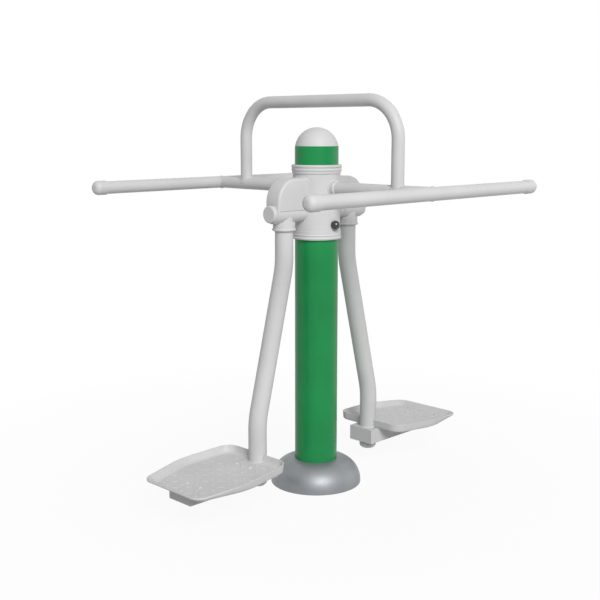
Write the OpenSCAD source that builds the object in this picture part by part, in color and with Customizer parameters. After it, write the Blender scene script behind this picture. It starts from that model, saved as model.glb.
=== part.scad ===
// Outdoor surfboard trainer: a fixed post with two hand bars and a hoop, and two
// hanging legs with foot plates that swing sideways about one common line.
// Units are millimetres. X runs along the swing line, Y across it, Z up from the ground.
// The machine looks the same after half a turn about the post, so the left side is
// the right side turned by 180 degrees.

/* [Post] */
// outside diameter of the green post
post_d = 140; // [130:1:150]
// wall of the post
post_wall = 4; // [3:0.5:6]
// green band of the post that shows between the upper collar and the cap
band_h = 58; // [50:1:125]
// diameter of the steel flange on the ground
flange_d = 250; // [240:1:260]
// thickness of the flange
flange_t = 12; // [10:1:16]
// pitch circle of the anchor holes
anchor_pcd = 205; // [200:1:212]
// diameter of each anchor hole
anchor_hole_d = 18; // [14:1:20]
// diameter of the domed cover on the ground
cover_d = 300; // [294:1:320]
// height of the domed cover
cover_h = 82; // [78:1:84]

/* [Head] */
// outside diameter of the barrel around the post
barrel_d = 152; // [150:1:156]
// from the cross bars' middle line down to the underside of the lower collar
barrel_drop = 163; // [160:1:172]
// from the cross bars' middle line up to the top of the upper collar
barrel_rise = 73; // [68:1:78]
// height of a collar
collar_h = 29; // [26:1:30]
// from the cross bars' middle line down to the clamp bolt
bolt_drop = 116; // [114:1:117]
// diameter of the clamp bolt
bolt_d = 16; // [14:1:18]

/* [Hand bars and hoop] */
// outside diameter of a hand bar tube
grip_d = 40.5; // [37:0.5:43]
// wall of the bar tubes
bar_wall = 3; // [2:0.5:4]
// height of the cross bar's middle line
bar_z = 982; // [976:1:986]
// distance from the post to a hand bar, middle to middle
bar_reach = 467; // [440:1:500]
// half the length of a hand bar over its end caps
grip_half = 530; // [480:1:560]
// distance from the post to an upright of the hoop
hoop_half = 332; // [300:1:360]
// from the cross bars' middle line up to the hoop's top middle line
hoop_rise = 271; // [256:1:321]
// bend radius of the hoop's corners
hoop_bend = 118; // [90:1:130]

/* [Swing joint] */
// from the cross bars' middle line down to the swing line
axle_drop = 75; // [73:1:77]
// diameter of the axle
axle_d = 25; // [24:1:25]
// outside diameter of the swinging hub
hub_d = 60.5; // [60:0.5:61]
// distance from the post to a leg's upper middle line
leg_x_top = 147; // [144:1:150]
// from the leg's upper middle line to the outer end of the limit box
end_room = 51; // [49:0.5:53]
// from the cross bars' middle line up to the top of the limit box
box_rise = 34; // [29:1:39]
// overall thickness of the limit box
box_w = 62; // [62:0.5:63]
// swing to each side in degrees
swing = 35; // [25:1:35]

/* [Leg and foot plate] */
// outside diameter of the leg tube
leg_d = 58; // [55:0.5:58.5]
// wall of the leg tube
leg_wall = 3.5; // [3:0.5:4]
// distance from the post to a leg's lower middle line
leg_x_low = 267; // [255:1:275]
// from the swing line down to where the leg leaves the upright line
bend_drop = 165; // [147:1:187]
// height where the leg is upright again
bend_low_z = 262; // [255:1:290]
// radius of the two bends on the middle line
leg_bend = 260; // [220:1:300]
// width of the support tube under a foot plate
support_w = 98; // [90:1:110]
// height of the support tube
support_h = 50; // [46:1:54]
// wall of the support tube
support_wall = 3; // [2.5:0.5:4]
// underside of the support tube
support_bottom = 81; // [76:1:84]
// outer end of the support tube
support_end = 582; // [570:1:590]
// outer end of the foot plate
plate_end = 620; // [600:1:640]
// width of the foot plate at its inner end
plate_w_in = 284; // [275:1:295]
// width of the foot plate at its widest
plate_w_mid = 316; // [300:1:330]
// width of the foot plate at its outer end
plate_w_out = 270; // [260:1:280]
// height of the foot plate's rim
rim_h = 27; // [22:1:32]
// downward slope of the foot plate toward its outer end
plate_tilt = 3.3; // [0:0.1:4]

/* [Hidden] */
$fn = 64;
// gap on the radius of pieces that slide together
slip = 0.05;
// gap on the radius around a screw
screw_gap = 0.1;
post_r = post_d / 2;
barrel_r = barrel_d / 2;
flange_r = flange_d / 2;
cover_r = cover_d / 2;
cover_wall = 3;
// upright skirt of the cover on the ground, below its round shoulder
cover_skirt = 5;
bar_r = (grip_d - 0.5) / 2;
hoop_r = (grip_d - 1) / 2;
grip_r = grip_d / 2;
cap_wall = 2.5;
cap_len = 26;
// rounding of the cap's nose, which leaves a small flat in the middle
cap_round = 17;
cap_nose = 19;
axle_r = axle_d / 2;
// heights of the head, all set from the cross bars
barrel_bottom = bar_z - barrel_drop;
barrel_top = bar_z + barrel_rise;
post_top = barrel_top + band_h;
bolt_z = bar_z - bolt_drop;
hoop_z = bar_z + hoop_rise;
axle_z = bar_z - axle_drop;
box_top = bar_z + box_rise;
bend_top_z = axle_z - bend_drop;
// how far the flange reaches in under the post's wall
flange_lap = 25;
hub_r = hub_d / 2;
leg_r = leg_d / 2;
// stations along the swing line, measured from the post
boss_len = 26;
boss_end = barrel_r + boss_len;
hub_start = boss_end + 1;
shoulder_end = boss_end + 2;
box_reach = leg_x_top + end_room;
hub_end = box_reach + 2;
bearing_w = 12;
washer_t = 3;
nut_t = 11;
nut_flat = 30;
// room for the cap's rim between the nut and the hub's open end
nut_depth = 8;
nut_x = hub_end - nut_depth - nut_t;
washer_x = nut_x - washer_t;
inner_bearing_x = shoulder_end;
outer_bearing_x = washer_x - bearing_w;
thread_end = nut_x + nut_t + 1;
hub_cap_x = hub_end;
// how far the hub's end cap stands out, its radius, and the rounding of its edge
hub_cap_t = 14;
hub_cap_r = 27;
hub_cap_round = 5;
// ball bearing
race_in_r = 16;
race_out_r = 20.5;
bearing_r = 23.5;
ball_pitch_r = (race_in_r + race_out_r) / 2;
ball_r = 2.9;
ball_count = 9;
race_gap = 0.1;
boss_r = hub_r - 0.5;
shield_gap = 0.4;
// stub, spigot and collar that carry the leg
stub_len = 37;
stub_bottom = axle_z - stub_len;
spigot_len = 25;
sleeve_top = stub_bottom + 11;
sleeve_bottom = stub_bottom - 17;
sleeve_r = leg_r + 6;
bead_r = 4.2;
// limit box
box_wall = 3;
// the lower edge lies where the box's faces run flush into the hub
box_bottom = axle_z + 9;
box_corner = 74;
hub_gap = 0.95;
lug_len = 40;
lug_w = 10;
lug_r = hub_r + 7.2;
// the pad meets the lug's corner a quarter of a millimetre past the full swing
pad_face = lug_r * sin(swing) + lug_w / 2 * cos(swing) + 0.3;
pad_t = box_w / 2 - box_wall - pad_face;
pad_z0 = axle_z + 19;
pad_h = 18;
// leg and foot
// a pressed bend comes out a hair thicker than the straight tube
bend_step = 0.05;
leg_slope = atan((leg_x_low - leg_x_top) / (bend_top_z - bend_low_z));
bend_run = leg_bend * tan(leg_slope / 2);
support_top = support_bottom + support_h;
// from the leg to the support's inner end
support_in = 39;
support_start = leg_x_low - support_in;
plug_t = 4;
leg_bottom = support_bottom - 9;
foot_drop = 19;
plate_t = 4;
plate_start = leg_x_low - 5;
notch_r = leg_r + 2;
rim_flare = 9;
rim_t = 4;
corner_in = 46;
corner_out = 40;
// round of the plate's full sides, and how far along the plate they are widest
side_round = 240;
widest_x = plate_start + 0.52 * (plate_end - plate_start);
stud_len = 17;
stud_w = 6;
stud_h = 1.6;
screw_r = 4;
// margin of the treads along and across the plate
tread_edge_x = 42;
tread_edge_y = 37;
// from the leg to the first pair of screws, and on to the second pair
screw_first = 62;
screw_pitch = 200;
screw_x = [leg_x_low + screw_first, leg_x_low + screw_first + screw_pitch];
screw_y = 30;

// General shapes

// upright tube between two heights
module upright_tube(r_out, r_in, z0, z1) {
  translate([0, 0, z0]) difference() {
    cylinder(r = r_out, h = z1 - z0);
    translate([0, 0, -1]) cylinder(r = r_in, h = z1 - z0 + 2);
  }
}

// solid rod along X from x0 to x1 at the height of the swing line
module axle_rod(r, x0, x1) {
  translate([x0, 0, axle_z]) rotate([0, 90, 0]) cylinder(r = r, h = x1 - x0);
}

// tube along X on the swing line
module axle_tube(r_out, r_in, x0, x1) {
  difference() {
    axle_rod(r_out, x0, x1);
    axle_rod(r_in, x0 - 1, x1 + 1);
  }
}

// rod along Y at a height, from y0 to y1
module cross_rod(r, z, y0, y1) {
  translate([0, y0, z]) rotate([-90, 0, 0]) cylinder(r = r, h = y1 - y0);
}

// the left side is the right side turned half round
module other_side() {
  rotate([0, 0, 180]) children();
}

// Post and ground cover

module base_flange() {
  color("dimgray") difference() {
    cylinder(r = flange_r, h = flange_t);
    translate([0, 0, -1]) cylinder(r = post_r - flange_lap, h = flange_t + 2);
    for (a = [45 : 90 : 315]) {
      rotate([0, 0, a]) translate([anchor_pcd / 2, 0, -1])
        cylinder(d = anchor_hole_d, h = flange_t + 2);
    }
  }
}

module post_gussets() {
  reach = 32;
  tall = 46;
  color("dimgray") difference() {
    for (a = [0 : 90 : 270]) {
      rotate([90, 0, a]) translate([0, 0, -4]) linear_extrude(8)
        polygon([[post_r - 2, flange_t], [post_r + reach, flange_t],
          [post_r + reach, flange_t + 8], [post_r + 8, flange_t + tall],
          [post_r - 2, flange_t + tall]]);
    }
    cylinder(r = post_r, h = flange_t + tall + 1);
  }
}

// shell with an upright skirt, a round shoulder and a flat lip around the post
module base_cover() {
  round_r = cover_h - cover_skirt;
  ring_r = cover_r - round_r;
  color("silver") rotate_extrude($fn = 96) difference() {
    union() {
      intersection() {
        translate([ring_r, cover_skirt]) circle(r = round_r, $fn = 96);
        translate([ring_r, cover_skirt]) square([round_r + 1, round_r + 1]);
      }
      translate([ring_r, 0]) square([round_r, cover_skirt]);
      translate([post_r + slip, cover_h - cover_wall])
        square([ring_r - post_r - slip, cover_wall]);
    }
    intersection() {
      translate([ring_r, cover_skirt]) circle(r = round_r - cover_wall, $fn = 96);
      translate([ring_r - 1, 0]) square([round_r + 1, round_r + cover_skirt]);
    }
    translate([ring_r - 1, -1]) square([round_r - cover_wall + 1, cover_skirt + 1]);
  }
}

module post_tube() {
  color("seagreen") difference() {
    upright_tube(post_r, post_r - post_wall, flange_t, post_top);
    cross_rod(bolt_d / 2 + screw_gap, bolt_z, -post_r - 5, post_r + 5);
  }
}

// Head

module head_barrel() {
  spot = 1.6;
  color("lightgray") difference() {
    upright_tube(barrel_r, post_r + slip, barrel_bottom + 3, barrel_top - 3);
    cross_rod(bolt_d / 2 + screw_gap, bolt_z, -barrel_r - 5, barrel_r + 5);
    cross_rod(bolt_d, bolt_z, -barrel_r - 5, -barrel_r + spot);
    cross_rod(bolt_d, bolt_z, barrel_r - spot, barrel_r + 5);
  }
}

// collar with two beads over the end of the barrel, its lip upward
module collar_ring(bead) {
  lip = 3;
  rotate_extrude($fn = 96) difference() {
    union() {
      translate([post_r + slip, 0]) square([barrel_r + 2.6 - post_r, collar_h - 2]);
      translate([barrel_r, bead]) circle(r = bead, $fn = 48);
      translate([barrel_r, bead * 3.1]) circle(r = bead - 0.6, $fn = 48);
      translate([post_r + slip, 0]) square([barrel_r - post_r - slip, bead]);
    }
    translate([post_r - 1, lip]) square([barrel_r + slip - post_r + 1, collar_h]);
    translate([post_r - 1, -1]) square([1 + slip, collar_h]);
  }
}

module lower_collar() {
  color("lightgray") translate([0, 0, barrel_bottom]) collar_ring(4.6);
}

module upper_collar() {
  color("lightgray") translate([0, 0, barrel_top]) rotate([180, 0, 0]) collar_ring(5.2);
}

// round cap that plugs the top of the post
module dome_cap() {
  sink = 11;
  wall = 3;
  plug = 20;
  plug_r = post_r - post_wall - slip;
  color("lightgray") translate([0, 0, post_top]) rotate_extrude($fn = 96) difference() {
    union() {
      intersection() {
        translate([0, -sink]) circle(r = post_r, $fn = 96);
        square([post_r + 1, post_r]);
      }
      translate([0, -plug]) square([plug_r, plug + 1]);
    }
    intersection() {
      translate([0, -sink]) circle(r = post_r - wall - 3, $fn = 96);
      translate([0, -plug]) square([plug_r - wall, post_r]);
    }
    translate([0, -plug - 1]) square([plug_r - wall, plug]);
    translate([-post_r, -post_r]) square([post_r, post_r * 2]);
  }
}

// ball head on a short neck at the front of the barrel, shank right through the post
module clamp_bolt() {
  seat = barrel_r - 1.6;
  ball = bolt_d - 1.5;
  neck_h = 9.5;
  color("dimgray") rotate([90, 0, 0]) translate([0, bolt_z, seat]) {
    intersection() {
      translate([0, 0, neck_h]) sphere(r = ball, $fn = 96);
      cylinder(r = ball + 1, h = neck_h + ball + 1);
    }
    cylinder(r = ball - 2, h = neck_h);
    translate([0, 0, -2 * seat - 14]) cylinder(d = bolt_d, h = 2 * seat + 14.01);
  }
}

// domed nut on the rear of the barrel
module clamp_nut() {
  seat = barrel_r - 1.6;
  nut_h = 12;
  color("dimgray") rotate([-90, 0, 0]) translate([0, -bolt_z, seat]) difference() {
    union() {
      cylinder(d = bolt_d * 1.5 / cos(30), h = nut_h, $fn = 6);
      translate([0, 0, nut_h - 2]) intersection() {
        sphere(d = bolt_d * 1.42);
        cylinder(d = bolt_d * 2, h = bolt_d);
      }
    }
    translate([0, 0, -1]) cylinder(r = bolt_d / 2 + slip, h = 15.5);
  }
}

// Bars and hoop

// cross bar toward +Y, coped on the barrel and on the hand bar
module cross_bar() {
  difference() {
    cross_rod(bar_r, bar_z, barrel_r - 12, bar_reach);
    cross_rod(bar_r - bar_wall, bar_z, barrel_r - 13, bar_reach + 1);
    cylinder(r = barrel_r, h = barrel_top);
    translate([-grip_half, bar_reach, bar_z]) rotate([0, 90, 0])
      cylinder(r = grip_r, h = 2 * grip_half);
  }
}

module rear_crossbar() {
  color("lightgray") cross_bar();
}

module front_crossbar() {
  color("lightgray") other_side() cross_bar();
}

// short sleeve that reinforces the root of a cross bar
module bar_socket() {
  difference() {
    union() {
      cross_rod(bar_r + 4, bar_z, barrel_r - 14, barrel_r + 14);
      translate([0, barrel_r + 14, bar_z]) rotate([-90, 0, 0])
        cylinder(r1 = bar_r + 4, r2 = bar_r + 1.5, h = 3);
    }
    cross_rod(bar_r, bar_z, barrel_r - 15, barrel_r + 20);
    cylinder(r = barrel_r, h = barrel_top);
  }
}

module rear_socket() {
  color("lightgray") bar_socket();
}

module front_socket() {
  color("lightgray") other_side() bar_socket();
}

// hand bar tube along X, open ends closed by caps
module hand_bar() {
  half = grip_half - cap_nose;
  translate([-half, bar_reach, bar_z]) rotate([0, 90, 0]) difference() {
    cylinder(r = grip_r, h = 2 * half);
    translate([0, 0, -1]) cylinder(r = grip_r - bar_wall, h = 2 * half + 2);
  }
}

module rear_grip() {
  color("lightgray") hand_bar();
}

module front_grip() {
  color("lightgray") other_side() hand_bar();
}

// push-on cap with a rounded nose, seated on the tube's end at z = 0 and pointing up
module end_cap() {
  cap_r = grip_r + cap_wall;
  bevel = 1.6;
  rotate_extrude() difference() {
    union() {
      translate([0, bevel - cap_len]) square([cap_r, cap_len - bevel + cap_nose - cap_round]);
      polygon([[0, -cap_len], [cap_r - bevel, -cap_len], [cap_r, bevel - cap_len], [0, bevel - cap_len]]);
      square([cap_r - cap_round, cap_nose]);
      translate([cap_r - cap_round, cap_nose - cap_round]) intersection() {
        circle(r = cap_round, $fn = 64);
        square([cap_round, cap_round]);
      }
    }
    translate([0, -cap_len - 1]) square([grip_r + slip, cap_len + 1]);
  }
}

module bar_caps() {
  half = grip_half - cap_nose;
  for (s = [-1, 1]) {
    translate([s * half, bar_reach, bar_z]) rotate([0, s * 90, 0]) end_cap();
  }
}

module rear_grip_caps() {
  color("lightgray") bar_caps();
}

module front_grip_caps() {
  color("lightgray") other_side() bar_caps();
}

// bent tube standing on both cross bars
module hoop() {
  straight = hoop_half - hoop_bend;
  rise = hoop_z - hoop_bend;
  color("lightgray") difference() {
    union() {
      for (s = [-1, 1]) {
        translate([0, s * hoop_half, 0]) upright_tube(hoop_r, hoop_r - bar_wall, bar_z, rise);
        translate([0, s * straight, rise]) rotate([90, 0, s * 90]) rotate_extrude(angle = 90, $fn = 96)
          translate([hoop_bend, 0]) difference() {
            circle(r = hoop_r, $fn = 48);
            circle(r = hoop_r - bar_wall, $fn = 48);
          }
      }
      difference() {
        cross_rod(hoop_r, hoop_z, -straight, straight);
        cross_rod(hoop_r - bar_wall, hoop_z, -straight - 1, straight + 1);
      }
    }
    cross_rod(bar_r, bar_z, -bar_reach, bar_reach);
  }
}

// Swing joint, right side

// side outline of the limit box, drawn in by t, with its lower edge at z0
module box_outline(t, z0) {
  r = box_corner - t;
  x1 = box_reach - t;
  z1 = box_top - t;
  translate([post_r - 20, z0]) square([x1 - r - post_r + 20, z1 - z0]);
  translate([x1 - r, z0]) square([r, z1 - r - z0]);
  translate([x1 - r, z1 - r]) intersection() {
    circle(r = r, $fn = 96);
    square([r + 1, r + 1]);
  }
}

// folded box welded to the barrel, which covers the upper half of the hub
module limit_box() {
  difference() {
    translate([0, box_w / 2, 0]) rotate([90, 0, 0]) linear_extrude(box_w)
      box_outline(0, box_bottom);
    translate([0, box_w / 2 - box_wall, 0]) rotate([90, 0, 0])
      linear_extrude(box_w - 2 * box_wall) box_outline(box_wall, box_bottom - 1);
    axle_rod(hub_r + hub_gap, barrel_r - 20, box_reach + 5);
    cylinder(r = barrel_r, h = barrel_top);
  }
}

module right_limit_box() {
  color("lightgray") limit_box();
}

module left_limit_box() {
  color("lightgray") other_side() limit_box();
}

// rubber pads on the inner faces of the box that stop the hub's lug
module stop_pads() {
  for (s = [-1, 1]) {
    translate([leg_x_top - lug_len / 2 - 2, s * (pad_face + pad_t / 2) - pad_t / 2, pad_z0])
      cube([lug_len + 4, pad_t, pad_h]);
  }
}

module right_stop_pads() {
  color("black") stop_pads();
}

module left_stop_pads() {
  color("black") other_side() stop_pads();
}

// boss coped on the barrel, shoulder, bearing shaft and threaded end
module axle() {
  difference() {
    union() {
      axle_rod(boss_r, barrel_r - 14, boss_end);
      axle_rod(race_in_r - 0.5, boss_end - 1, shoulder_end);
      axle_rod(axle_r, boss_end - 1, washer_x);
      axle_rod(axle_r - 2.5, washer_x - 1, thread_end);
    }
    cylinder(r = barrel_r, h = barrel_top);
  }
}

module right_axle() {
  color("gray") axle();
}

module left_axle() {
  color("gray") other_side() axle();
}

// groove that the balls run in
module ball_groove(x) {
  translate([x + bearing_w / 2, 0, axle_z]) rotate([0, 90, 0])
    rotate_extrude() translate([ball_pitch_r, 0]) circle(r = ball_r + race_gap, $fn = 32);
}

module inner_races() {
  for (x = [inner_bearing_x, outer_bearing_x]) {
    difference() {
      axle_tube(race_in_r, axle_r + slip / 2, x, x + bearing_w);
      ball_groove(x);
    }
  }
}

module right_inner_races() {
  color("silver") inner_races();
}

module left_inner_races() {
  color("silver") other_side() inner_races();
}

// outer rings with a thin shield on each face
module outer_races() {
  for (x = [inner_bearing_x, outer_bearing_x]) {
    difference() {
      union() {
        axle_tube(bearing_r, race_out_r, x, x + bearing_w);
        axle_tube(race_out_r + 1, race_in_r + shield_gap, x, x + 1);
        axle_tube(race_out_r + 1, race_in_r + shield_gap, x + bearing_w - 1, x + bearing_w);
      }
      ball_groove(x);
    }
  }
}

module right_outer_races() {
  color("silver") outer_races();
}

module left_outer_races() {
  color("silver") other_side() outer_races();
}

module ball_cages() {
  for (x = [inner_bearing_x, outer_bearing_x]) {
    axle_tube(ball_pitch_r + 0.8, ball_pitch_r - 0.8, x + bearing_w / 2 - 1.5, x + bearing_w / 2 + 1.5);
    translate([x + bearing_w / 2, 0, axle_z]) {
      for (a = [0 : 360 / ball_count : 359]) {
        rotate([a, 0, 0]) translate([0, 0, ball_pitch_r]) sphere(r = ball_r, $fn = 24);
      }
    }
  }
}

module right_ball_cages() {
  color("silver") ball_cages();
}

module left_ball_cages() {
  color("silver") other_side() ball_cages();
}

module spacer() {
  axle_tube(race_in_r - 0.5, axle_r + slip / 2, inner_bearing_x + bearing_w, outer_bearing_x);
}

module right_spacer() {
  color("gray") spacer();
}

module left_spacer() {
  color("gray") other_side() spacer();
}

module washer() {
  axle_tube(race_in_r - 0.5, axle_r - 2.5 + slip, washer_x, nut_x);
}

module right_washer() {
  color("gray") washer();
}

module left_washer() {
  color("gray") other_side() washer();
}

module axle_nut() {
  difference() {
    translate([nut_x, 0, axle_z]) rotate([0, 90, 0])
      cylinder(d = nut_flat / cos(30), h = nut_t, $fn = 6);
    axle_rod(axle_r - 2.5 + slip, nut_x - 1, nut_x + nut_t + 1);
  }
}

module right_axle_nut() {
  color("gray") axle_nut();
}

module left_axle_nut() {
  color("gray") other_side() axle_nut();
}

// T-shaped hub: bearing tube, stub for the leg, and stop lug inside the limit box
module hub() {
  difference() {
    union() {
      axle_rod(hub_r, hub_start, hub_end);
      translate([leg_x_top, 0, stub_bottom]) cylinder(r = leg_r, h = axle_z - 5 - stub_bottom);
      translate([leg_x_top, 0, stub_bottom - spigot_len])
        cylinder(r = leg_r - leg_wall - slip, h = spigot_len + 1);
      translate([leg_x_top - lug_len / 2, -lug_w / 2, axle_z])
        cube([lug_len, lug_w, lug_r]);
    }
    axle_rod(race_out_r, hub_start - 1, hub_end + 1);
    axle_rod(bearing_r + slip / 2, hub_start - 1, inner_bearing_x + bearing_w);
    axle_rod(bearing_r + slip / 2, outer_bearing_x, hub_end + 1);
  }
}

module right_hub() {
  color("lightgray") hub();
}

module left_hub() {
  color("lightgray") other_side() hub();
}

// cap with a rounded edge, pressed into the outer end of the hub
module hub_cap() {
  crown_r = hub_cap_r - hub_cap_round;
  rise = hub_cap_t - hub_cap_round;
  difference() {
    union() {
      axle_rod(bearing_r, nut_x + 6, hub_cap_x + 1);
      translate([hub_cap_x, 0, axle_z]) rotate([0, 90, 0]) rotate_extrude() union() {
        square([hub_cap_r, rise]);
        square([crown_r, hub_cap_t]);
        translate([crown_r, rise]) intersection() {
          circle(r = hub_cap_round, $fn = 48);
          square([hub_cap_round, hub_cap_round]);
        }
      }
    }
    axle_rod(bearing_r - 3, nut_x, hub_cap_x + 1);
  }
}

module right_hub_cap() {
  color("lightgray") hub_cap();
}

module left_hub_cap() {
  color("lightgray") other_side() hub_cap();
}

// Leg, right side

// sleeve with a bead at its lower end over the joint of stub and leg, coped under the hub
module leg_collar() {
  difference() {
    translate([leg_x_top, 0, sleeve_bottom]) rotate_extrude() difference() {
      union() {
        square([sleeve_r, sleeve_top - sleeve_bottom - 2]);
        square([sleeve_r - 2, sleeve_top - sleeve_bottom]);
        translate([sleeve_r - 2, sleeve_top - sleeve_bottom - 2]) circle(r = 2, $fn = 32);
        translate([sleeve_r - 1.7, bead_r]) circle(r = bead_r, $fn = 32);
      }
      translate([-1, -1]) square([leg_r + slip + 1, sleeve_top]);
    }
    axle_rod(hub_r + slip, leg_x_top - sleeve_r - 5, leg_x_top + sleeve_r + 5);
  }
}

module right_leg_collar() {
  color("lightgray") leg_collar();
}

module left_leg_collar() {
  color("lightgray") other_side() leg_collar();
}

// one hollow bend of the leg in the XZ plane, starting upright at z = 0 and leaning to -X
module leg_arc() {
  rotate([90, 0, 0]) rotate_extrude(angle = leg_slope, $fn = 120) translate([leg_bend, 0])
    difference() {
      circle(r = leg_r + bend_step, $fn = 64);
      circle(r = leg_r - leg_wall - bend_step, $fn = 64);
    }
}

// upright, bend, slanted run, bend and upright again
module leg() {
  slant_len = (bend_top_z - bend_low_z) / cos(leg_slope) - 2 * bend_run;
  r_in = leg_r - leg_wall;
  translate([leg_x_top, 0, 0]) upright_tube(leg_r, r_in, bend_top_z + bend_run, stub_bottom);
  translate([leg_x_top + leg_bend, 0, bend_top_z + bend_run]) rotate([180, 0, 180]) leg_arc();
  translate([leg_x_low, 0, bend_low_z]) rotate([0, -leg_slope, 0])
    upright_tube(leg_r, r_in, bend_run, bend_run + slant_len);
  translate([leg_x_low - leg_bend, 0, bend_low_z - bend_run]) leg_arc();
  translate([leg_x_low, 0, 0]) upright_tube(leg_r, r_in, leg_bottom, bend_low_z - bend_run);
}

module right_leg() {
  color("lightgray") leg();
}

module left_leg() {
  color("lightgray") other_side() leg();
}

// rounded plug in the leg's lower end
module foot_plug() {
  round_r = 14;
  translate([leg_x_low, 0, leg_bottom]) rotate([180, 0, 0]) rotate_extrude() difference() {
    union() {
      translate([0, -24]) square([leg_r - leg_wall - slip, 25]);
      square([leg_r, foot_drop - round_r]);
      square([leg_r - round_r, foot_drop]);
      translate([leg_r - round_r, foot_drop - round_r]) intersection() {
        circle(r = round_r, $fn = 64);
        square([round_r + 1, round_r + 1]);
      }
    }
    translate([0, -25]) square([leg_r - leg_wall - 4, 24]);
  }
}

module right_foot_plug() {
  color("lightgray") foot_plug();
}

module left_foot_plug() {
  color("lightgray") other_side() foot_plug();
}

// Foot plate and its support, right side

// the foot plate's own slope, about the line where the leg meets the support's top
module on_slope() {
  translate([leg_x_low, 0, support_top]) rotate([0, plate_tilt, 0])
    translate([-leg_x_low, 0, -support_top]) children();
}

// piece of the support between two stations, drawn in by t: its top is level up to
// the leg and slopes beyond it
module slab(x0, x1, w, t) {
  fall = tan(plate_tilt);
  z0 = support_bottom + t;
  z1 = support_top - t;
  bend = x0 < leg_x_low && x1 > leg_x_low ? [[leg_x_low, z1]] : [];
  translate([0, w / 2, 0]) rotate([90, 0, 0]) linear_extrude(w)
    polygon(concat([[x0, z0], [x1, z0], [x1, z1 - max(0, x1 - leg_x_low) * fall]], bend,
      [[x0, z1 - max(0, x0 - leg_x_low) * fall]]));
}

// box section that the leg passes through, with weld nuts under its top wall
module support() {
  x0 = support_start + plug_t;
  x1 = support_end - plug_t;
  difference() {
    union() {
      difference() {
        slab(x0, x1, support_w, 0);
        slab(x0 - 1, x1 + 1, support_w - 2 * support_wall, support_wall);
      }
      on_slope() for (x = screw_x, y = [-screw_y, screw_y]) {
        translate([x, y, support_top - support_wall - 7]) cylinder(r = 7.5, h = 7.5);
      }
    }
    translate([leg_x_low, 0, support_bottom - 1]) cylinder(r = leg_r + slip, h = support_h + 2);
    on_slope() for (x = screw_x, y = [-screw_y, screw_y]) {
      translate([x, y, support_top - 20]) cylinder(r = screw_r + slip, h = 21);
    }
  }
}

module right_support() {
  color("lightgray") support();
}

module left_support() {
  color("lightgray") other_side() support();
}

// end plates, each with a short collar inside the tube
module support_plugs() {
  lip = 5;
  edge = support_wall + 0.1;
  x_in = support_start + plug_t;
  x_out = support_end - plug_t;
  difference() {
    union() {
      slab(support_start, x_in, support_w, 0);
      slab(x_in - 1, x_in + lip, support_w - 2 * edge, edge);
      slab(x_out, support_end, support_w, 0);
      slab(x_out - lip, x_out + 1, support_w - 2 * edge, edge);
    }
    slab(x_in, x_in + lip + 1, support_w - 2 * edge - 6, edge + 3);
    slab(x_out - lip - 1, x_out, support_w - 2 * edge - 6, edge + 3);
  }
}

module right_support_plugs() {
  color("lightgray") support_plugs();
}

module left_support_plugs() {
  color("lightgray") other_side() support_plugs();
}

// circles that the tray's outline runs round: place along X, half width there, radius
tray_circles = [
  [plate_start + corner_in, plate_w_in / 2, corner_in],
  [widest_x, plate_w_mid / 2, side_round],
  [plate_end - corner_out, plate_w_out / 2, corner_out]
];

// part of an upright cone, turned to +Y and cut off at y = 0 where it would reach across
module side_cone(c, inset, z0, h, flare) {
  r = c[2] - inset;
  intersection() {
    translate([c[0], c[1] - c[2], z0]) cylinder(r1 = r - flare, r2 = r, h = h, $fn = 120);
    translate([c[0] - 90, 0, z0]) cube([180, plate_w_mid, h]);
  }
}

// rounded slab of the tray, its lower edge drawn in by flare
module tray_slab(inset, z0, h, flare) {
  hull() {
    for (c = tray_circles, s = [0, 1]) {
      mirror([0, s, 0]) side_cone(c, inset, z0, h, flare);
    }
  }
}

// small raised bars in rows, each turned the other way from its neighbour
module tread() {
  rows = 7;
  cols = 10;
  step_x = (plate_end - plate_start - 2 * tread_edge_x) / (cols - 1);
  for (i = [0 : cols - 1], j = [0 : rows - 1]) {
    x = plate_start + tread_edge_x + i * step_x;
    half = plate_w_mid / 2 - 8 - pow((x - widest_x) / 100, 2) * 9;
    y = (j - (rows - 1) / 2) * 2 * (half - tread_edge_y) / (rows - 1);
    corner = (i == 0 || i == cols - 1) && (j == 0 || j == rows - 1);
    near_leg = norm([x - leg_x_low, y]) < notch_r + 14;
    near_screw = min([for (sx = screw_x, sy = [-screw_y, screw_y]) norm([x - sx, y - sy])]) < 19;
    if (!corner && !near_leg && !near_screw) {
      translate([x, y, support_top + plate_t]) rotate([0, 0, (i + j) % 2 == 0 ? 45 : -45])
        translate([-stud_len / 2, -stud_w / 2, -0.5]) cube([stud_len, stud_w, stud_h + 0.5]);
    }
  }
}

// pressed tray with a flared rim, notched round the leg
module foot_plate() {
  difference() {
    on_slope() difference() {
      union() {
        difference() {
          tray_slab(0, support_top, rim_h, rim_flare);
          tray_slab(rim_t, support_top + plate_t, rim_h, rim_flare);
        }
        tread();
      }
      for (x = screw_x, y = [-screw_y, screw_y]) {
        translate([x, y, support_top - 1]) cylinder(r = screw_r + screw_gap, h = plate_t + 2);
      }
    }
    translate([leg_x_low, 0, support_top - 10]) cylinder(r = notch_r, h = rim_h + 20);
    translate([plate_start - 20, -notch_r, support_top - 10]) cube([25, 2 * notch_r, rim_h + 20]);
  }
}

module right_foot_plate() {
  color("lightgray") foot_plate();
}

module left_foot_plate() {
  color("lightgray") other_side() foot_plate();
}

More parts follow.
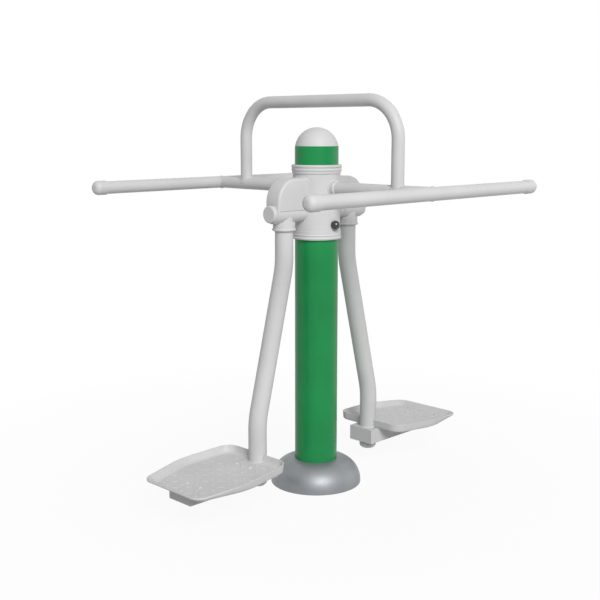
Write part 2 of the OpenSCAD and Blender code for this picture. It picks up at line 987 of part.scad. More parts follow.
module plate_screws() {
  head_r = 7.5;
  head_h = 4.2;
  ball = (head_r * head_r + head_h * head_h) / (2 * head_h);
  on_slope() for (x = screw_x, y = [-screw_y, screw_y]) {
    translate([x, y, support_top + plate_t]) {
      difference() {
        intersection() {
          translate([0, 0, head_h - ball]) sphere(r = ball, $fn = 48);
          cylinder(r = head_r + 1, h = head_h + 1);
        }
        translate([0, 0, head_h - 2.4]) cylinder(d = 5 / cos(30), h = 4, $fn = 6);
      }
      translate([0, 0, -plate_t - support_wall - 8]) cylinder(r = screw_r, h = plate_t + support_wall + 8.01);
    }
  }
}

module right_plate_screws() {
  color("gray") plate_screws();
}

module left_plate_screws() {
  color("gray") other_side() plate_screws();
}

base_flange();
post_gussets();
base_cover();
post_tube();
head_barrel();
lower_collar();
upper_collar();
dome_cap();
clamp_bolt();
clamp_nut();
front_crossbar();
rear_crossbar();
front_socket();
rear_socket();
front_grip();
rear_grip();
front_grip_caps();
rear_grip_caps();
hoop();
right_limit_box();
left_limit_box();
right_stop_pads();
left_stop_pads();
right_axle();
left_axle();
right_inner_races();
left_inner_races();
right_spacer();
left_spacer();
right_washer();
left_washer();
right_axle_nut();
left_axle_nut();
right_outer_races();
left_outer_races();
right_ball_cages();
left_ball_cages();
right_hub();
left_hub();
right_hub_cap();
left_hub_cap();
right_leg_collar();
left_leg_collar();
right_leg();
left_leg();
right_foot_plug();
left_foot_plug();
right_support();
left_support();
right_support_plugs();
left_support_plugs();
right_foot_plate();
left_foot_plate();
right_plate_screws();
left_plate_screws();
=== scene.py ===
# %% [markdown]
# # Outdoor surfboard trainer
# A steel post carries two hand bars and a hoop, and two bent legs hang from bearings
# at its head. The construction model is already exact, so it is loaded as a fixed
# frame. This lesson dresses it: paint, plating and rubber for every piece, and finer
# pieces where pressing, folding and welding leave shapes that plain solids don't have.

# %% Load the frame
import math

import bmesh
import bpy
from mathutils import Matrix, Vector


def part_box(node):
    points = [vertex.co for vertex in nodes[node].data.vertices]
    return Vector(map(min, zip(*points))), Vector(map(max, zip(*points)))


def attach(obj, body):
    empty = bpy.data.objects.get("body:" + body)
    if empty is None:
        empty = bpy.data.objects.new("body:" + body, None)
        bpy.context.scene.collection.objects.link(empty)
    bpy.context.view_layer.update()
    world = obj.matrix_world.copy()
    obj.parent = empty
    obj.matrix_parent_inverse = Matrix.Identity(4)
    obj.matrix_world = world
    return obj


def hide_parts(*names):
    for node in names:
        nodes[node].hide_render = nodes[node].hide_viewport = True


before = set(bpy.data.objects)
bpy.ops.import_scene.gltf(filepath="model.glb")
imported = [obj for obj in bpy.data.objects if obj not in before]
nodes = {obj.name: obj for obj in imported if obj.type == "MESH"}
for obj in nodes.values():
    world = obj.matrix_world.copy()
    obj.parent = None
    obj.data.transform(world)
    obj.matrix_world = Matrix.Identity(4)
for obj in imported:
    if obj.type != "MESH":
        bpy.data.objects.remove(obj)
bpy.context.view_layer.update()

# %% [markdown]
# The photograph was taken from a little above chest height, through a moderately long
# lens. The camera's place and lens were worked out from the post, which is taken as
# 140 mm tube, and from the two hand bars, which run level and square to each other.

# %% Camera
camera_place = Vector((-2.317, -2.203, 1.170))
camera_tilt = 80.15
camera_heading = -45.49
camera_lens = 59.5

camera_data = bpy.data.cameras.new("camera")
camera_data.lens = camera_lens
camera_data.sensor_width = 36.0
camera = bpy.data.objects.new("camera", camera_data)
camera.location = camera_place
camera.rotation_euler = (math.radians(camera_tilt), 0.0, math.radians(camera_heading))
bpy.context.scene.collection.objects.link(camera)
bpy.context.scene.camera = camera
print("camera", round(camera_place.xy.length, 2), "m from the post's line")

# %% [markdown]
# Paint makers give a colour as a hex code in sRGB, while Blender's shaders work in
# linear light, so one function turns the first into the second. Another adds a node,
# sets it and links it, which keeps each material below down to a few lines.

# %% Colour and node helpers
def linear(code):
    """Turns an sRGB hex code into a linear colour."""
    parts = [int(code[i:i + 2], 16) / 255 for i in (1, 3, 5)]
    return [p / 12.92 if p <= 0.04045 else ((p + 0.055) / 1.055) ** 2.4 for p in parts] + [1.0]


def add_node(owner, kind, settings, links=()):
    """Adds a node, sets its sockets or properties, and feeds sockets from other nodes."""
    node = owner.node_tree.nodes.new(kind)
    for name, value in settings.items():
        if name in node.inputs:
            node.inputs[name].default_value = value
        else:
            setattr(node, name, value)
    for name, source in dict(links).items():
        owner.node_tree.links.new(source, node.inputs[name])
    return node


def empty_material(name):
    """A node material that has no nodes yet."""
    material = bpy.data.materials.new(name)
    material.use_nodes = True
    material.node_tree.nodes.clear()
    return material


def per_size(mm):
    """Scale of a pattern whose features are this many millimetres across."""
    return 1000 / mm


print("mid grey in linear light:", round(linear("#808080")[0], 3))

# %% [markdown]
# The frame is polyester powder coat on steel: powder is sprayed on and baked, and it
# flows into a satin skin with a faint orange peel. The peel is 2 to 3 mm across, which
# the render can't show, so it is drawn about 8 mm across and very shallow. One slow
# noise shifts the colour and the gloss a little, as film thickness does.

# %% Powder coat
film_patch_mm = 140
peel_mm = 8
roughness_shift = 0.05


def powder_coat(name, thin, thick, roughness):
    """Satin baked paint, whose colour runs from that of a thin film to that of a thick one."""
    material = empty_material(name)
    place = add_node(material, "ShaderNodeTexCoord", {})
    film = add_node(material, "ShaderNodeTexNoise",
                    {"Scale": per_size(film_patch_mm), "Detail": 3.0},
                    {"Vector": place.outputs["Object"]})
    colour = add_node(material, "ShaderNodeValToRGB", {}, {"Fac": film.outputs["Fac"]})
    colour.color_ramp.elements[0].position = 0.35
    colour.color_ramp.elements[0].color = linear(thin)
    colour.color_ramp.elements[1].position = 0.65
    colour.color_ramp.elements[1].color = linear(thick)
    peel = add_node(material, "ShaderNodeTexNoise", {"Scale": per_size(peel_mm), "Detail": 1.5},
                    {"Vector": place.outputs["Object"]})
    sheen = add_node(material, "ShaderNodeMapRange",
                     {"From Min": 0.3, "From Max": 0.7,
                      "To Min": roughness - roughness_shift, "To Max": roughness + roughness_shift},
                     {"Value": film.outputs["Fac"]})
    bump = add_node(material, "ShaderNodeBump", {"Strength": 0.18, "Distance": 0.0006},
                    {"Height": peel.outputs["Fac"]})
    skin = add_node(material, "ShaderNodeBsdfPrincipled", {"IOR": 1.5, "Specular IOR Level": 0.25},
                    {"Base Color": colour.outputs["Color"], "Roughness": sheen.outputs["Result"],
                     "Normal": bump.outputs["Normal"]})
    add_node(material, "ShaderNodeOutputMaterial", {}, {"Surface": skin.outputs["BSDF"]})
    return material


grey_coat = powder_coat("grey_powder_coat", "#CACACA", "#D0D0D0", 0.42)
green_coat = powder_coat("green_powder_coat", "#168447", "#198C4B", 0.32)
print(grey_coat.name, green_coat.name, "with peel", peel_mm, "mm across")

# %% [markdown]
# The ground cover is pressed steel sprayed with aluminium lacquer and a clear coat.
# Fine flakes catch the light one by one under a smooth glossy top. A flake is under
# half a millimetre, so the sparkle is drawn about 3 mm across to show at all.

# %% Silver lacquer
flake_mm = 3
cloud_mm = 90

silver_lacquer = empty_material("silver_lacquer")
place = add_node(silver_lacquer, "ShaderNodeTexCoord", {})
flakes = add_node(silver_lacquer, "ShaderNodeTexVoronoi", {"Scale": per_size(flake_mm)},
                  {"Vector": place.outputs["Object"]})
cloud = add_node(silver_lacquer, "ShaderNodeTexNoise", {"Scale": per_size(cloud_mm), "Detail": 2.0},
                 {"Vector": place.outputs["Object"]})
colour = add_node(silver_lacquer, "ShaderNodeValToRGB", {}, {"Fac": cloud.outputs["Fac"]})
colour.color_ramp.elements[0].position = 0.3
colour.color_ramp.elements[0].color = linear("#888B8F")
colour.color_ramp.elements[1].position = 0.7
colour.color_ramp.elements[1].color = linear("#94979A")
sparkle = add_node(silver_lacquer, "ShaderNodeMapRange", {"To Min": 0.46, "To Max": 0.58},
                   {"Value": flakes.outputs["Distance"]})
bump = add_node(silver_lacquer, "ShaderNodeBump", {"Strength": 0.05, "Distance": 0.0003},
                {"Height": flakes.outputs["Distance"]})
skin = add_node(silver_lacquer, "ShaderNodeBsdfPrincipled",
                {"Metallic": 0.6, "Coat Weight": 0.2, "Coat Roughness": 0.35},
                {"Base Color": colour.outputs["Color"], "Roughness": sparkle.outputs["Result"],
                 "Normal": bump.outputs["Normal"]})
add_node(silver_lacquer, "ShaderNodeOutputMaterial", {}, {"Surface": skin.outputs["BSDF"]})
print(silver_lacquer.name, "with sparkle", flake_mm, "mm across")

# %% [markdown]
# Bright metals differ mostly in how the surface was left: plated, turned, ground or
# dipped. One function makes a metal from its two tones, its roughness and the size
# of its marks. Turned and ground marks are finer than a pixel and are drawn coarser.
# The black chrome of the clamp bolt is sealed with clear lacquer, and that skin gives
# its head the one small bright spot.

# %% Metals
roughness_spread = 0.15


def bare_metal(name, dull, bright, roughness, mark_mm, relief,
               texture="ShaderNodeTexNoise", lacquer=0.0):
    """Metal whose tone and roughness shift over marks of a given size, bare or lacquered."""
    material = empty_material(name)
    place = add_node(material, "ShaderNodeTexCoord", {})
    marks = add_node(material, texture, {"Scale": per_size(mark_mm)},
                     {"Vector": place.outputs["Object"]})
    height = marks.outputs["Fac" if "Fac" in marks.outputs else "Distance"]
    colour = add_node(material, "ShaderNodeValToRGB", {}, {"Fac": height})
    colour.color_ramp.elements[0].position = 0.25
    colour.color_ramp.elements[0].color = linear(dull)
    colour.color_ramp.elements[1].position = 0.75
    colour.color_ramp.elements[1].color = linear(bright)
    polish = add_node(material, "ShaderNodeMapRange",
                      {"To Min": roughness * (1 - roughness_spread),
                       "To Max": roughness * (1 + roughness_spread)}, {"Value": height})
    bump = add_node(material, "ShaderNodeBump", {"Strength": relief, "Distance": 0.0003},
                    {"Height": height})
    skin = add_node(material, "ShaderNodeBsdfPrincipled",
                    {"Metallic": 1.0, "Coat Weight": lacquer},
                    {"Base Color": colour.outputs["Color"], "Roughness": polish.outputs["Result"],
                     "Normal": bump.outputs["Normal"]})
    add_node(material, "ShaderNodeOutputMaterial", {}, {"Surface": skin.outputs["BSDF"]})
    return material


black_chrome = bare_metal("black_chrome_plate", "#303236", "#3C3E42", 0.10, 20, 0.02, lacquer=1.0)
zinc_plate = bare_metal("zinc_plate", "#A2A6AA", "#B4B7BA", 0.32, 6, 0.05)
turned_steel = bare_metal("turned_steel", "#85888B", "#9A9C9F", 0.28, 3, 0.08)
ground_steel = bare_metal("ground_bearing_steel", "#9EA1A4", "#ACAEB1", 0.14, 4, 0.02)
dipped_zinc = bare_metal("hot_dip_zinc", "#83888C", "#9DA2A6", 0.45, 14, 0.10,
                         texture="ShaderNodeTexVoronoi")
print("metals:", black_chrome.name, zinc_plate.name, turned_steel.name,
      ground_steel.name, dipped_zinc.name)

# %% [markdown]
# The stop pads are moulded black rubber: dull, with the fine grain of the mould.

# %% Rubber
grain_mm = 1.5

moulded_rubber = empty_material("moulded_black_rubber")
place = add_node(moulded_rubber, "ShaderNodeTexCoord", {})
grain = add_node(moulded_rubber, "ShaderNodeTexNoise", {"Scale": per_size(grain_mm), "Detail": 2.0},
                 {"Vector": place.outputs["Object"]})
colour = add_node(moulded_rubber, "ShaderNodeValToRGB", {}, {"Fac": grain.outputs["Fac"]})
colour.color_ramp.elements[0].color = linear("#161617")
colour.color_ramp.elements[1].color = linear("#252526")
bump = add_node(moulded_rubber, "ShaderNodeBump", {"Strength": 0.3, "Distance": 0.0002},
                {"Height": grain.outputs["Fac"]})
skin = add_node(moulded_rubber, "ShaderNodeBsdfPrincipled", {"Roughness": 0.75},
                {"Base Color": colour.outputs["Color"], "Normal": bump.outputs["Normal"]})
add_node(moulded_rubber, "ShaderNodeOutputMaterial", {}, {"Surface": skin.outputs["BSDF"]})
print(moulded_rubber.name, "with grain", grain_mm, "mm across")

# %% [markdown]
# Every CAD node keeps its shape and gets one of these finishes. The paint goes on
# after welding, so everything welded or seen from outside is coated, and only what
# turns, clamps or hides under the ground cover is bare metal.

# %% Finish of each node
SIDES = ("right", "left")
finish_of = {name: grey_coat for name in nodes}
finish_of["post_tube"] = green_coat
finish_of["base_cover"] = silver_lacquer
finish_of["clamp_bolt"] = black_chrome
finish_of["clamp_nut"] = black_chrome
finish_of["base_flange"] = dipped_zinc
finish_of["post_gussets"] = dipped_zinc
for side in SIDES:
    finish_of[side + "_spacer"] = turned_steel
    finish_of[side + "_washer"] = zinc_plate
    finish_of[side + "_axle_nut"] = zinc_plate
    finish_of[side + "_inner_races"] = ground_steel
    finish_of[side + "_outer_races"] = ground_steel
    finish_of[side + "_ball_cages"] = ground_steel
    finish_of[side + "_stop_pads"] = moulded_rubber

for name, piece in nodes.items():
    for material_slot in piece.material_slots:
        material_slot.material = finish_of[name]
print("finishes set on", len(finish_of), "nodes")

# %% [markdown]
# New pieces are drawn in millimetres and scaled to the metres of the frame. The left
# side is the right side turned half round, and so is the front against the rear, so
# each piece is drawn once and turned. One helper makes a mesh of a shape, one shades it
# smooth up to its edges, and one paints it and makes it ride on a body.

# %% Helpers for pieces
MM = 0.001
AS_BUILT = Matrix.Identity(4)
HALF_TURN = Matrix.Rotation(math.pi, 4, "Z")
TURN_OF = {"right": AS_BUILT, "left": HALF_TURN, "rear": AS_BUILT, "front": HALF_TURN}


def mesh_of(name, shape, turn):
    """Turns a bmesh in millimetres into a mesh in metres whose normals face outward."""
    bmesh.ops.transform(shape, matrix=turn @ Matrix.Scale(MM, 4), verts=shape.verts)
    bmesh.ops.recalc_face_normals(shape, faces=shape.faces)
    mesh = bpy.data.meshes.new(name)
    shape.to_mesh(mesh)
    shape.free()
    return mesh


def shade(mesh, crease):
    """Shades a mesh smooth, with sharp edges from the crease angle on."""
    mesh.shade_smooth()
    mesh.set_sharp_from_angle(angle=math.radians(crease))


def put(name, data):
    """Puts an object with this data in the scene."""
    thing = bpy.data.objects.new(name, data)
    bpy.context.scene.collection.objects.link(thing)
    return thing


def add_piece(name, shape, finish, body, turn=AS_BUILT, crease=32):
    """Makes a finished object from a bmesh and lets it move with a body."""
    mesh = mesh_of(name, shape, turn)
    mesh.materials.append(finish)
    shade(mesh, crease)
    piece = put(name, mesh)
    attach(piece, body)
    return piece


def high_mm(node):
    """Highest corner of a node in millimetres."""
    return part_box(node)[1] / MM


def arc(centre, radius, start, end, steps):
    """Points on a circular arc in a plane, angles in degrees."""
    angles = [math.radians(start + (end - start) * i / steps) for i in range(steps + 1)]
    return [(centre[0] + radius * math.cos(a), centre[1] + radius * math.sin(a)) for a in angles]


print("green post stands", round(high_mm("post_tube").z), "mm high")

# %% [markdown]
# Skins are made by joining rings of points, one ring to the next. Both the trays and
# the welds come from this one helper.

# %% Skin from rings
def join_rings(shape, rings, closed_along=False):
    """Joins rings of the same number of points with quads."""
    made = [[shape.verts.new(point) for point in ring] for ring in rings]
    pairs = list(zip(made, made[1:]))
    if closed_along:
        pairs.append((made[-1], made[0]))
    for one, other in pairs:
        for i in range(len(one)):
            k = (i + 1) % len(one)
            shape.faces.new((one[i], one[k], other[k], other[i]))
    return made


trial = bmesh.new()
join_rings(trial, [[Vector((x, y, z)) for x, y in arc((0, 0), 1.0, 0, 270, 3)] for z in (0, 1)])
print("two rings of four points give", len(trial.faces), "faces")
trial.free()

# %% [markdown]
# The foot plates are pressed from sheet: a floor, a soft bend, and a wall that rises
# to a rounded edge. The tray is widest near its middle: each side runs round three
# circles, a corner, a long full curve and a corner, joined by straight runs. Every line
# of the pressing follows that outline at some inset, so the cross-section is drawn as
# pairs of inset and height. Toward the outer end the wall sinks and spreads into a low
# flange, so there are two sections, and each point of the outline blends between them.
# The whole tray slopes down outward a little, as its support does.

# %% Tray outline and section
leg_x = 267.0
support_top = 131.0
slope = math.radians(3.3)
tray_start = 262.0
tray_end = 620.0
widest_x = tray_start + 0.52 * (tray_end - tray_start)
half_widest = 158.0
wall_lean = 1.6
sheet = 4.0
taper_start = 405.0
steps_round_circle = 16

side_circles = [(Vector((308.0, 96.0)), 46.0), (Vector((widest_x, half_widest - 240.0)), 240.0),
                (Vector((580.0, 95.0)), 40.0)]
side_turns = [180.0]
for (one, one_radius), (other, other_radius) in zip(side_circles, side_circles[1:]):
    run = other - one
    touch = math.atan2(run.y, run.x) + math.acos((one_radius - other_radius) / run.length)
    side_turns.append(math.degrees(touch))
side_turns.append(0.0)

outside = [(9.0, 0.0), (6.0, 0.4), (3.8, 1.8), (2.8, 4.4), (wall_lean, 12.0)]
edge = [(0.5, 24.8), (0.2, 26.1), (1.0, 27.0), (2.6, 27.0), (3.9, 26.2), (4.4, 24.8)]
inside = [(8.5, 13.0), (11.5, 8.6), (15.5, 5.6), (21.0, 4.2), (28.0, sheet)]
side_section = outside + edge + inside

flange_under = [(34.0, 0.0), (29.0, 1.2), (18.0, 6.0), (8.0, 11.6), (1.8, 15.2)]
flange_edge = [(0.4, 16.4), (0.0, 18.0), (0.6, 20.2), (2.2, 21.5), (4.2, 21.8), (6.4, 21.2)]
flange_top = [(14.0, 16.4), (21.0, 11.2), (27.0, 7.4), (32.0, 4.9), (36.0, sheet)]
end_section = flange_under + flange_edge + flange_top


def tray_ring(side_point, end_point):
    """One line of the pressing, from its inset and height at the side and at the outer end."""
    upper = []
    for i, (centre, radius) in enumerate(side_circles):
        for x, y in arc((0, 0), 1.0, side_turns[i], side_turns[i + 1], steps_round_circle):
            share = (centre.x + radius * x - taper_start) / (tray_end - taper_start)
            share = min(max(share, 0.0), 1.0)
            inset = side_point[0] + (end_point[0] - side_point[0]) * share
            height = side_point[1] + (end_point[1] - side_point[1]) * share
            upper.append((centre.x + (radius - inset) * x, centre.y + (radius - inset) * y, height))
    lower = [(x, -y, height) for x, y, height in reversed(upper)]
    return [Vector((x, y, support_top + height)) for x, y, height in upper + lower]


print("side turns at", [round(turn, 1) for turn in side_turns],
      "with", len(side_section), "points in a section")

# %% [markdown]
# Low oval treads are pressed up out of the floor in rows, each turned the other way
# from its neighbour. One tread is a stack of rings that flattens toward its top, and
# none is laid near the leg, near the screws or at the corners. Its profile is given as
# pairs of inset and height, like the section of the tray.

# %% Treads
tread_half = 10.5
tread_width = 4.8
tread_profile = [(0.0, -0.4), (0.7, 0.4), (1.7, 0.85), (3.0, 1.15), (4.1, 1.3)]
tread_end_steps = 6
tread_turn = 45
tread_columns = 10
tread_rows = 7
edge_along = 42.0
edge_across = 37.0
wall_foot = 8.0
narrowing = 9.0
screw_along = (329.0, 529.0)
screw_across = 30.0
leg_clear = 44.0
screw_clear = 19.0


def add_tread(shape, x, y, angle):
    """One domed oval on the floor of the tray."""
    place = Matrix.Translation((x, y, support_top + sheet))
    place = place @ Matrix.Rotation(math.radians(angle), 4, "Z")
    straight = tread_half - tread_width
    rings = []
    for inset, height in tread_profile:
        round_end = tread_width - inset
        outline = arc((straight, 0), round_end, -90, 90, tread_end_steps)
        outline += arc((-straight, 0), round_end, 90, 270, tread_end_steps)
        rings.append([place @ Vector((px, py, height)) for px, py in outline])
    made = join_rings(shape, rings)
    shape.faces.new(made[-1])
    shape.faces.new(list(reversed(made[0])))


def tread_places():
    """Place and turn of each tread."""
    step = (tray_end - tray_start - 2 * edge_along) / (tread_columns - 1)
    for i in range(tread_columns):
        for j in range(tread_rows):
            x = tray_start + edge_along + i * step
            half = half_widest - wall_foot - ((x - widest_x) / 100) ** 2 * narrowing
            y = (j / (tread_rows - 1) * 2 - 1) * (half - edge_across)
            at_corner = i in (0, tread_columns - 1) and j in (0, tread_rows - 1)
            near_leg = math.hypot(x - leg_x, y) < leg_clear
            near_screw = any(math.hypot(x - screw_x, abs(y) - screw_across) < screw_clear
                             for screw_x in screw_along)
            if not (at_corner or near_leg or near_screw):
                yield x, y, tread_turn if (i + j) % 2 == 0 else -tread_turn


print(len(list(tread_places())), "treads on each plate")

# %% [markdown]
# The leg passes through a notch at the tray's inner end. The tray is closed first, as
# a solid skin, and the notch is then cut with a Boolean, which gives the pressed wall
# a clean end on each side of the leg. Holes for the screws would show nothing, since
# the screw heads cover them.

# %% Foot plates
notch_radius = 31.0
notch_reach = 40.0


def cut(piece, tool):
    """Cuts a tool out of a piece with one exact Boolean and removes the tool."""
    change = piece.modifiers.new("cut", "BOOLEAN")
    change.object = tool
    change.operation = "DIFFERENCE"
    change.solver = "EXACT"
    seen = piece.evaluated_get(bpy.context.evaluated_depsgraph_get())
    result = bpy.data.meshes.new_from_object(seen)
    piece.modifiers.clear()
    piece.data = result
    bpy.data.objects.remove(tool)


def make_tool(shape, turn):
    """A cutting shape, given in millimetres, that isn't part of the object."""
    return put("tool", mesh_of("tool", shape, turn))


def round_bar(radius, start, end, sides=96):
    """A solid round bar between two points, as a bmesh in millimetres."""
    shape = bmesh.new()
    start, end = Vector(start), Vector(end)
    facing = (end - start).to_track_quat("Z", "X").to_matrix()
    ring = [facing @ Vector((x, y, 0)) for x, y in arc((0, 0), radius, 0, 360, sides)[:-1]]
    made = join_rings(shape, [[start + p for p in ring], [end + p for p in ring]])
    shape.faces.new(made[0])
    shape.faces.new(list(reversed(made[-1])))
    return shape


tilt = Matrix.Translation((leg_x, 0, support_top)) @ Matrix.Rotation(slope, 4, "Y")
tilt = tilt @ Matrix.Translation((-leg_x, 0, -support_top))

for side in SIDES:
    shape = bmesh.new()
    made = join_rings(shape, [tray_ring(*pair) for pair in zip(side_section, end_section)])
    shape.faces.new(made[0])
    shape.faces.new(list(reversed(made[-1])))
    bmesh.ops.transform(shape, matrix=tilt, verts=shape.verts)
    plate = add_piece(side + "_pressed_plate", shape, grey_coat,
                      side + "_swing", TURN_OF[side])
    bar = round_bar(notch_radius, (leg_x, 0, support_top - notch_reach),
                    (leg_x, 0, support_top + notch_reach))
    cut(plate, make_tool(bar, TURN_OF[side]))
    shade(plate.data, crease=40)
    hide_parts(side + "_foot_plate")

    shape = bmesh.new()
    for x, y, angle in tread_places():
        add_tread(shape, x, y, angle)
    bmesh.ops.transform(shape, matrix=tilt, verts=shape.verts)
    add_piece(side + "_treads", shape, grey_coat,
              side + "_swing", TURN_OF[side], crease=60)
    print(side, "plate has", len(plate.data.polygons), "faces")

# %% [markdown]
# Each limit box is folded from 3 mm sheet and closed by welding, so its outer edges
# are soft bends, not sharp corners. The outline is drawn flat, made thick, and its long
# edges are rounded. The room inside, the hollow that the hub turns in and the coping
# on the barrel are then cut, each with a tool that reaches past the sheet. The box's
# faces run flush into the hub, so the two read as one form.

# %% Limit boxes
barrel_radius = high_mm("head_barrel").x
box_end = high_mm("right_limit_box").x
box_top = high_mm("right_limit_box").z
box_half = high_mm("right_limit_box").y
axle_z = 907.0
box_bottom = axle_z + 9
box_corner = 74.0
box_root = 16.0
box_wall = 3.0
box_fold = 9.0
fold_segments = 6
box_lip = 1.4
lip_segments = 3
hollow_radius = 30.7
shoulder_steps = 16
overshoot = 30.0
tolerance = 0.01


def box_prism(inset, bottom, half, fold):
    """The box's outline made thick, its long outer edges rounded by fold."""
    start, end = barrel_radius - box_root - inset, box_end - inset
    top, corner = box_top - inset, box_corner - inset
    points = [(start, bottom), (end, bottom)]
    points += arc((end - corner, top - corner), corner, 0, 90, shoulder_steps)
    points += [(start, top)]
    shape = bmesh.new()
    front = [shape.verts.new((x, -half, z)) for x, z in points]
    back = [shape.verts.new((x, half, z)) for x, z in points]
    count = len(points)
    for i in range(count):
        k = (i + 1) % count
        shape.faces.new((front[i], front[k], back[k], back[i]))
    shape.faces.new(front)
    shape.faces.new(list(reversed(back)))
    bmesh.ops.recalc_face_normals(shape, faces=shape.faces)
    first_outer = points.index((end, bottom))
    outer = [edge for line in (front, back) for edge in shape.edges
             if all(v in line[first_outer:] for v in edge.verts)]
    bmesh.ops.bevel(shape, geom=outer, offset=fold, segments=fold_segments, profile=0.5,
                    affect="EDGES")
    lower = [edge for edge in shape.edges
             if all(abs(v.co.z - bottom) < tolerance and abs(v.co.y) > half - tolerance
                    for v in edge.verts)]
    bmesh.ops.bevel(shape, geom=lower, offset=box_lip, segments=lip_segments, profile=0.5,
                    affect="EDGES")
    return shape


for side in SIDES:
    turn = TURN_OF[side]
    shell = add_piece(side + "_folded_box", box_prism(0, box_bottom, box_half, box_fold),
                      grey_coat, "frame", turn)
    room = box_prism(box_wall, box_bottom - overshoot, box_half - box_wall, box_fold - box_wall)
    hollow = round_bar(hollow_radius, (barrel_radius - overshoot, 0, axle_z),
                       (box_end + overshoot, 0, axle_z))
    barrel = round_bar(barrel_radius, (0, 0, box_bottom - overshoot),
                       (0, 0, box_top + overshoot))
    for shape in (room, hollow, barrel):
        cut(shell, make_tool(shape, turn))
    shade(shell.data, crease=38)
    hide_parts(side + "_limit_box")
    print(side, "box has", len(shell.data.polygons), "faces")

# %% [markdown]
# Every joint of the frame is a fillet weld under the paint. A weld bead is a small
# round rope with ripples, laid where two pieces meet. Each bead follows the true line
# where its two surfaces cross, worked out from their radii.

# %% Weld beads
ripple_pitch = 5.0
ripple_depth = 0.12
bead_sides = 8
bead_rings = 90
wide_bead_rings = 100


def circle_of(steps):
    """Angles once round a circle."""
    return [2 * math.pi * i / steps for i in range(steps)]


def add_bead(shape, path, radius, outward, closed):
    """A rippled rope along a path. outward gives the direction away from the joint."""
    count = len(path)
    rings = []
    travelled = 0.0
    for i, point in enumerate(path):
        before = path[i - 1] if i or closed else point
        after = path[(i + 1) % count] if closed or i < count - 1 else point
        along = (after - before).normalized()
        out = outward(point)
        out = (out - along * out.dot(along)).normalized()
        across = along.cross(out)
        travelled += (point - before).length if i else 0.0
        swell = radius * (1 + ripple_depth * math.sin(2 * math.pi * travelled / ripple_pitch))
        rings.append([point + (out * math.cos(a) + across * math.sin(a)) * swell
                      for a in circle_of(bead_sides)])
    made = join_rings(shape, rings, closed)
    if not closed:
        shape.faces.new(made[0])
        shape.faces.new(list(reversed(made[-1])))


print("ripples every", ripple_pitch, "mm")

# %% [markdown]
# On the fixed frame there are beads where the cross bars meet the hand bars, where
# their sockets stand on the barrel, where the hoop stands on the cross bars, and down
# both sides and over the top of each limit box.

# %% Welds of the frame
bar_z = 982.0
bar_radius = 20.0
grip_radius = high_mm("rear_grip").z - bar_z
bar_reach = 467.0
hoop_reach = 332.0
hoop_radius = high_mm("hoop").x
socket_radius = 24.0
frame_bead = 2.6
socket_bead = 2.8

for end in ("rear", "front"):
    shape = bmesh.new()
    grip_line = [Vector((bar_radius * math.cos(a),
                         bar_reach - math.sqrt(grip_radius ** 2 - (bar_radius * math.sin(a)) ** 2),
                         bar_z + bar_radius * math.sin(a))) for a in circle_of(bead_rings)]
    add_bead(shape, grip_line, frame_bead, lambda p: p - Vector((0, bar_reach, bar_z)), True)
    socket_line = [Vector((socket_radius * math.cos(a),
                           math.sqrt(barrel_radius ** 2 - (socket_radius * math.cos(a)) ** 2),
                           bar_z + socket_radius * math.sin(a)))
                   for a in circle_of(wide_bead_rings)]
    add_bead(shape, socket_line, socket_bead, lambda p: Vector((p.x, 0, p.z - bar_z)), True)
    hoop_line = [Vector((hoop_radius * math.cos(a), hoop_reach + hoop_radius * math.sin(a),
                         bar_z + math.sqrt(bar_radius ** 2 - (hoop_radius * math.cos(a)) ** 2)))
                 for a in circle_of(bead_rings)]
    add_bead(shape, hoop_line, frame_bead, lambda p: Vector((p.x, p.y - hoop_reach, 0)), True)
    add_piece(end + "_bar_welds", shape, grey_coat, "frame", TURN_OF[end], crease=60)

up_steps = 60
over_steps = 30
rise = box_top - box_fold - box_bottom
width = 2 * box_half - 2 * box_fold
edge_x = math.sqrt(barrel_radius ** 2 - box_half ** 2)
up = [Vector((edge_x, -box_half, box_bottom + rise * i / up_steps)) for i in range(up_steps + 1)]
across = [-box_half + box_fold + width * i / over_steps for i in range(over_steps + 1)]
over = [Vector((math.sqrt(barrel_radius ** 2 - y ** 2), y, box_top)) for y in across]
down = [Vector((p.x, -p.y, p.z)) for p in reversed(up)]
for side in SIDES:
    shape = bmesh.new()
    add_bead(shape, up + over + down, frame_bead, lambda p: Vector((p.x, p.y, 0)), False)
    add_piece(side + "_box_weld", shape, grey_coat, "frame", TURN_OF[side], crease=60)
print("frame welds laid")

# %% [markdown]
# Below, the leg is welded into the support tube at its top and bottom faces, and the
# notch of the tray is welded to the leg. These beads swing with the leg.

# %% Welds of the legs
leg_radius = 29.0
support_bottom = 81.0
leg_bead = 2.4
bead_lift = 0.6
bead_inset = 0.9
notch_rings = 70
notch_stop = tray_start + wall_lean + 10.0

for side in SIDES:
    shape = bmesh.new()
    for z in (support_top, support_bottom):
        ring = [Vector((leg_x + leg_radius * math.cos(a), leg_radius * math.sin(a), z))
                for a in circle_of(wide_bead_rings)]
        add_bead(shape, ring, leg_bead, lambda p: Vector((p.x - leg_x, p.y, 0)), True)
    add_piece(side + "_leg_welds", shape, grey_coat,
              side + "_swing", TURN_OF[side], crease=60)

    shape = bmesh.new()
    reach = math.degrees(math.acos((notch_stop - leg_x) / notch_radius))
    notch = [Vector((x, y, support_top + sheet + bead_lift))
             for x, y in arc((leg_x, 0), notch_radius - bead_inset, -reach, reach, notch_rings)]
    add_bead(shape, notch, leg_bead, lambda p: Vector((leg_x - p.x, -p.y, 0)), False)
    bmesh.ops.transform(shape, matrix=tilt, verts=shape.verts)
    add_piece(side + "_notch_weld", shape, grey_coat,
              side + "_swing", TURN_OF[side], crease=60)
print("leg welds laid")

# %% [markdown]
# The floor is plain and nearly white, and so is everything around it. Light Path tells
# which rays come from the camera, from a gloss or through glass. These see clean white
# at strength 1, and only the rays that light the object see the dimmer studio.

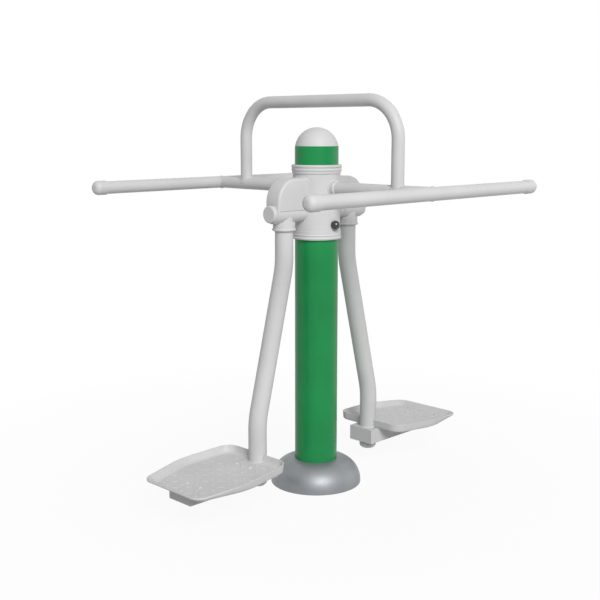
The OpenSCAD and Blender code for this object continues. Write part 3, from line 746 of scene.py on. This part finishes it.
# %% Clean rays
def clean_rays(owner):
    """Is 1 for rays that must see clean white and 0 for those that light the object."""
    rays = add_node(owner, "ShaderNodeLightPath", {})
    seen = add_node(owner, "ShaderNodeMath", {"operation": "MAXIMUM"},
                    {0: rays.outputs["Is Camera Ray"], 1: rays.outputs["Is Glossy Ray"]})
    either = add_node(owner, "ShaderNodeMath", {"operation": "MAXIMUM"},
                      {0: seen.outputs[0], 1: rays.outputs["Is Transmission Ray"]})
    return either.outputs[0]


print("clean rays: camera, glossy, transmission")

# %% [markdown]
# The floor near the post keeps a part of its own shading, so that the object still
# stands in a soft shadow. Over the next metres it fades to pure white, and no edge
# shows at the horizon.

# %% Floor
floor_half = 15.0
shadow_ends = 0.5
white_begins = 1.8
white_share = 0.94

floor_shape = bmesh.new()
corners = [(x * floor_half, y * floor_half, 0.0) for x, y in ((-1, -1), (1, -1), (1, 1), (-1, 1))]
floor_shape.faces.new([floor_shape.verts.new(corner) for corner in corners])
floor_mesh = bpy.data.meshes.new("floor")
floor_shape.to_mesh(floor_mesh)
floor_shape.free()
floor = put("floor", floor_mesh)

floor_paper = empty_material("floor_paper")
clean = clean_rays(floor_paper)
place = add_node(floor_paper, "ShaderNodeTexCoord", {})
distance = add_node(floor_paper, "ShaderNodeVectorMath", {"operation": "LENGTH"},
                    {0: place.outputs["Object"]})
fade = add_node(floor_paper, "ShaderNodeMapRange",
                {"From Min": shadow_ends, "From Max": white_begins,
                 "To Min": white_share, "To Max": 1.0},
                {"Value": distance.outputs["Value"]})
share = add_node(floor_paper, "ShaderNodeMath", {"operation": "MULTIPLY"},
                 {0: clean, 1: fade.outputs["Result"]})
paper = add_node(floor_paper, "ShaderNodeBsdfDiffuse", {"Color": linear("#C4C4C4")})
glow = add_node(floor_paper, "ShaderNodeEmission", {"Color": (1, 1, 1, 1), "Strength": 1.0})
blend = add_node(floor_paper, "ShaderNodeMixShader", {},
                 {"Fac": share.outputs[0], 1: paper.outputs["BSDF"], 2: glow.outputs["Emission"]})
add_node(floor_paper, "ShaderNodeOutputMaterial", {}, {"Surface": blend.outputs["Shader"]})
floor.data.materials.append(floor_paper)
print("floor", 2 * floor_half, "m square")

# %% [markdown]
# The surroundings are the same white to the clean rays. The object itself gets only
# about a quarter of that light from them, so that the lamps can still model its forms.

# %% Surroundings
studio_level = 0.28

world = bpy.data.worlds.new("studio")
bpy.context.scene.world = world
world.use_nodes = True
world.node_tree.nodes.clear()
level = add_node(world, "ShaderNodeMapRange", {"To Min": studio_level, "To Max": 1.0},
                 {"Value": clean_rays(world)})
surround = add_node(world, "ShaderNodeBackground", {"Color": (1, 1, 1, 1)},
                    {"Strength": level.outputs["Result"]})
add_node(world, "ShaderNodeOutputWorld", {}, {"Surface": surround.outputs["Background"]})
print("studio light level", studio_level)

# %% [markdown]
# One large soft lamp hangs high behind the camera and a little to its right, where the
# highlight on the ground cover shows it. A weak one fills in low from the far right.
# Both stand well back, so that the hoop and the foot plates get nearly the same light.

# %% Lamps
object_middle = Vector((0, 0, 0.6))


def soft_lamp(name, place, power, size):
    """A square soft lamp that faces the middle of the object."""
    data = bpy.data.lights.new(name, "AREA")
    data.energy = power
    data.size = size
    lamp = put(name, data)
    lamp.location = place
    lamp.rotation_euler = (object_middle - Vector(place)).to_track_quat("-Z", "Y").to_euler()


key_place = (-4.4, -7.9, 7.0)
fill_place = (4.8, -3.3, 2.1)
soft_lamp("key", key_place, power=1010, size=4.4)
soft_lamp("fill", fill_place, power=25, size=3.0)
bpy.context.scene.view_settings.view_transform = "Standard"
print("key lamp", round((object_middle - Vector(key_place)).length, 1), "m away")
